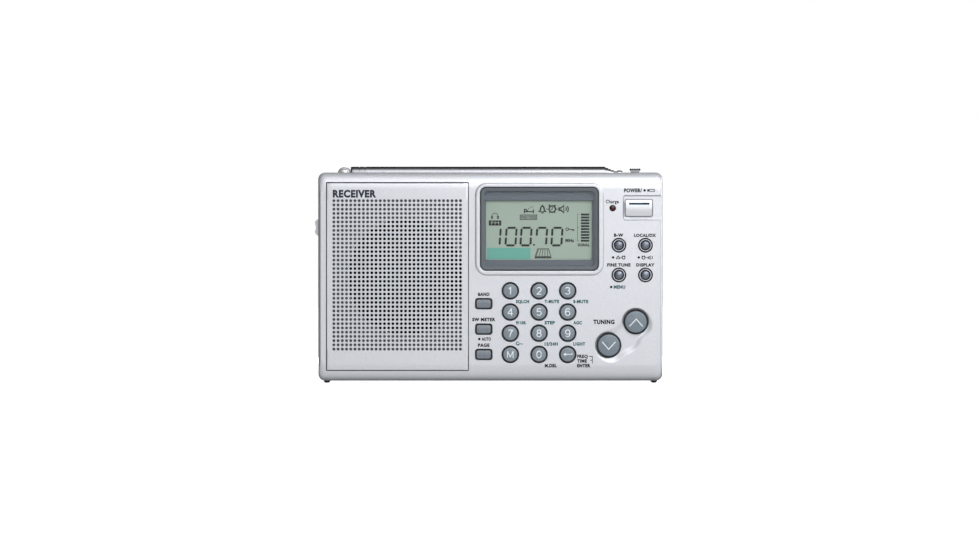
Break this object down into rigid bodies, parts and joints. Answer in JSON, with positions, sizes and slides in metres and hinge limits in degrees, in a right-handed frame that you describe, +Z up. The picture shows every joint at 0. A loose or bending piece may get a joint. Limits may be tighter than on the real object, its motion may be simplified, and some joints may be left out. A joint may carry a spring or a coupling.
{
  "type": "shortwave receiver",
  "caption": "Flat portable shortwave radio with a speaker grille, LCD, keypad, tuning buttons, side volume wheel, folding telescopic antenna, rear stand and battery door.",
  "frame": {"origin": "centre of the object's outline seen from above, on the surface that its feet stand on", "axes": "+X to the right as seen from the front, +Y towards the back, +Z up"},
  "size_m": [0.1626, 0.0344, 0.1013],
  "materials": {
    "silver_paint": "plastic with satin silver metallic paint, fine flake",
    "grey_key_plastic": "moulded blue-grey plastic, semi-gloss",
    "dark_plastic": "dark slate-grey plastic, semi-gloss",
    "black_plastic": "black moulded plastic",
    "chrome": "polished chrome plate",
    "steel": "nickel plated steel",
    "clear_acrylic": "clear glossy acrylic",
    "lcd_glass": "grey-green reflective liquid crystal display",
    "red_lens": "dark red translucent plastic",
    "rubber": "black rubber",
    "cone_paper": "black doped paper",
    "circuit_board": "green solder mask",
    "ferrite": "dark grey ferrite with windings",
    "cell_wrap": "plain printed film over a metal can"
  },
  "bodies": {
    "case": {"front_cabinet": "silver_paint", "rear_cabinet": "silver_paint", "speaker_grille": "silver_paint", "foot_left": "rubber", "foot_right": "rubber", "case_screw_1": "steel", "case_screw_2": "steel", "case_screw_3": "steel", "case_screw_4": "steel", "lcd_bezel": "dark_plastic", "lcd_window": "clear_acrylic", "lcd_panel": "lcd_glass", "charge_led": "red_lens", "volume_pot": "steel", "earphone_jack": "black_plastic", "dc_jack": "black_plastic", "speaker_frame": "steel", "speaker_cone": "cone_paper", "key_board": "circuit_board", "main_board": "circuit_board", "ferrite_rod": "ferrite", "battery_cell_1": "cell_wrap", "battery_cell_2": "cell_wrap", "battery_cell_3": "cell_wrap", "battery_cell_4": "cell_wrap", "battery_contacts_bottom": "steel", "battery_contacts_top": "steel"},
    "key_1": {"key_1": "grey_key_plastic"},
    "key_2": {"key_2": "grey_key_plastic"},
    "key_3": {"key_3": "grey_key_plastic"},
    "key_4": {"key_4": "grey_key_plastic"},
    "key_5": {"key_5": "grey_key_plastic"},
    "key_6": {"key_6": "grey_key_plastic"},
    "key_7": {"key_7": "grey_key_plastic"},
    "key_8": {"key_8": "grey_key_plastic"},
    "key_9": {"key_9": "grey_key_plastic"},
    "key_memory": {"key_memory": "grey_key_plastic"},
    "key_0": {"key_0": "grey_key_plastic"},
    "key_enter": {"key_enter": "grey_key_plastic"},
    "band_key": {"band_key": "grey_key_plastic"},
    "meter_key": {"meter_key": "grey_key_plastic"},
    "page_key": {"page_key": "grey_key_plastic"},
    "bandwidth_button": {"bandwidth_button": "grey_key_plastic"},
    "local_dx_button": {"local_dx_button": "grey_key_plastic"},
    "fine_tune_button": {"fine_tune_button": "grey_key_plastic"},
    "display_button": {"display_button": "grey_key_plastic"},
    "tuning_up_button": {"tuning_up_button": "grey_key_plastic"},
    "tuning_down_button": {"tuning_down_button": "grey_key_plastic"},
    "power_button": {"power_button": "silver_paint"},
    "volume_wheel": {"volume_wheel": "silver_paint"},
    "lock_switch": {"lock_switch": "dark_plastic"},
    "antenna_base": {"antenna_swivel": "chrome", "antenna_pivot_screw": "steel"},
    "antenna_tube_1": {"antenna_section_1": "chrome"},
    "antenna_tube_2": {"antenna_section_2": "chrome"},
    "antenna_tube_3": {"antenna_section_3": "chrome"},
    "antenna_tube_4": {"antenna_section_4": "chrome"},
    "antenna_tube_5": {"antenna_section_5": "chrome"},
    "kickstand": {"kickstand": "silver_paint"},
    "battery_door": {"battery_door": "silver_paint"}
  },
  "joints": [
    {"name": "volume_turn", "type": "hinge", "parent": "case", "child": "volume_wheel", "pos_m": [-0.0735, -0.00528, 0.0727], "axis": [0, 1, 0], "range_deg": [-140, 140]},
    {"name": "lock_slide", "type": "slide", "parent": "case", "child": "lock_switch", "axis": [1, 0, 0], "range_m": [-0.003, 0]},
    {"name": "antenna_swivel_turn", "type": "hinge", "parent": "case", "child": "antenna_base", "pos_m": [-0.06805, 0.00873, 0.0982], "axis": [0, 0, 1], "range_deg": [0, 180]},
    {"name": "antenna_elbow", "type": "hinge", "parent": "antenna_base", "child": "antenna_tube_1", "pos_m": [-0.06805, 0.00873, 0.0982], "axis": [0, -1, 0], "range_deg": [0, 90]},
    {"name": "antenna_slide_2", "type": "slide", "parent": "antenna_tube_1", "child": "antenna_tube_2", "axis": [1, 0, 0], "range_m": [0, 0.09]},
    {"name": "antenna_slide_3", "type": "slide", "parent": "antenna_tube_2", "child": "antenna_tube_3", "axis": [1, 0, 0], "range_m": [0, 0.09]},
    {"name": "antenna_slide_4", "type": "slide", "parent": "antenna_tube_3", "child": "antenna_tube_4", "axis": [1, 0, 0], "range_m": [0, 0.09]},
    {"name": "antenna_slide_5", "type": "slide", "parent": "antenna_tube_4", "child": "antenna_tube_5", "axis": [1, 0, 0], "range_m": [0, 0.09]},
    {"name": "kickstand_hinge", "type": "hinge", "parent": "case", "child": "kickstand", "pos_m": [-0.0392, 0.01582, 0.0526], "axis": [1, 0, 0], "range_deg": [0, 60]},
    {"name": "battery_door_hinge", "type": "hinge", "parent": "case", "child": "battery_door", "pos_m": [0.0386, 0.01582, 0.006], "axis": [-1, 0, 0], "range_deg": [0, 80]},
    {"name": "key_1_press", "type": "slide", "parent": "case", "child": "key_1", "axis": [0, 1, 0], "range_m": [0, 0.0008], "stiffness_N_per_m": 400},
    {"name": "key_2_press", "type": "slide", "parent": "case", "child": "key_2", "axis": [0, 1, 0], "range_m": [0, 0.0008], "stiffness_N_per_m": 400},
    {"name": "key_3_press", "type": "slide", "parent": "case", "child": "key_3", "axis": [0, 1, 0], "range_m": [0, 0.0008], "stiffness_N_per_m": 400},
    {"name": "key_4_press", "type": "slide", "parent": "case", "child": "key_4", "axis": [0, 1, 0], "range_m": [0, 0.0008], "stiffness_N_per_m": 400},
    {"name": "key_5_press", "type": "slide", "parent": "case", "child": "key_5", "axis": [0, 1, 0], "range_m": [0, 0.0008], "stiffness_N_per_m": 400},
    {"name": "key_6_press", "type": "slide", "parent": "case", "child": "key_6", "axis": [0, 1, 0], "range_m": [0, 0.0008], "stiffness_N_per_m": 400},
    {"name": "key_7_press", "type": "slide", "parent": "case", "child": "key_7", "axis": [0, 1, 0], "range_m": [0, 0.0008], "stiffness_N_per_m": 400},
    {"name": "key_8_press", "type": "slide", "parent": "case", "child": "key_8", "axis": [0, 1, 0], "range_m": [0, 0.0008], "stiffness_N_per_m": 400},
    {"name": "key_9_press", "type": "slide", "parent": "case", "child": "key_9", "axis": [0, 1, 0], "range_m": [0, 0.0008], "stiffness_N_per_m": 400},
    {"name": "key_memory_press", "type": "slide", "parent": "case", "child": "key_memory", "axis": [0, 1, 0], "range_m": [0, 0.0008], "stiffness_N_per_m": 400},
    {"name": "key_0_press", "type": "slide", "parent": "case", "child": "key_0", "axis": [0, 1, 0], "range_m": [0, 0.0008], "stiffness_N_per_m": 400},
    {"name": "key_enter_press", "type": "slide", "parent": "case", "child": "key_enter", "axis": [0, 1, 0], "range_m": [0, 0.0008], "stiffness_N_per_m": 400},
    {"name": "band_key_press", "type": "slide", "parent": "case", "child": "band_key", "axis": [0, 1, 0], "range_m": [0, 0.0008], "stiffness_N_per_m": 400},
    {"name": "meter_key_press", "type": "slide", "parent": "case", "child": "meter_key", "axis": [0, 1, 0], "range_m": [0, 0.0008], "stiffness_N_per_m": 400},
    {"name": "page_key_press", "type": "slide", "parent": "case", "child": "page_key", "axis": [0, 1, 0], "range_m": [0, 0.0008], "stiffness_N_per_m": 400},
    {"name": "bandwidth_button_press", "type": "slide", "parent": "case", "child": "bandwidth_button", "axis": [0, 1, 0], "range_m": [0, 0.0008], "stiffness_N_per_m": 400},
    {"name": "local_dx_button_press", "type": "slide", "parent": "case", "child": "local_dx_button", "axis": [0, 1, 0], "range_m": [0, 0.0008], "stiffness_N_per_m": 400},
    {"name": "fine_tune_button_press", "type": "slide", "parent": "case", "child": "fine_tune_button", "axis": [0, 1, 0], "range_m": [0, 0.0008], "stiffness_N_per_m": 400},
    {"name": "display_button_press", "type": "slide", "parent": "case", "child": "display_button", "axis": [0, 1, 0], "range_m": [0, 0.0008], "stiffness_N_per_m": 400},
    {"name": "tuning_up_button_press", "type": "slide", "parent": "case", "child": "tuning_up_button", "axis": [0, 1, 0], "range_m": [0, 0.0008], "stiffness_N_per_m": 400},
    {"name": "tuning_down_button_press", "type": "slide", "parent": "case", "child": "tuning_down_button", "axis": [0, 1, 0], "range_m": [0, 0.0008], "stiffness_N_per_m": 400},
    {"name": "power_button_press", "type": "slide", "parent": "case", "child": "power_button", "axis": [0, 1, 0], "range_m": [0, 0.0008], "stiffness_N_per_m": 400}
  ]
}
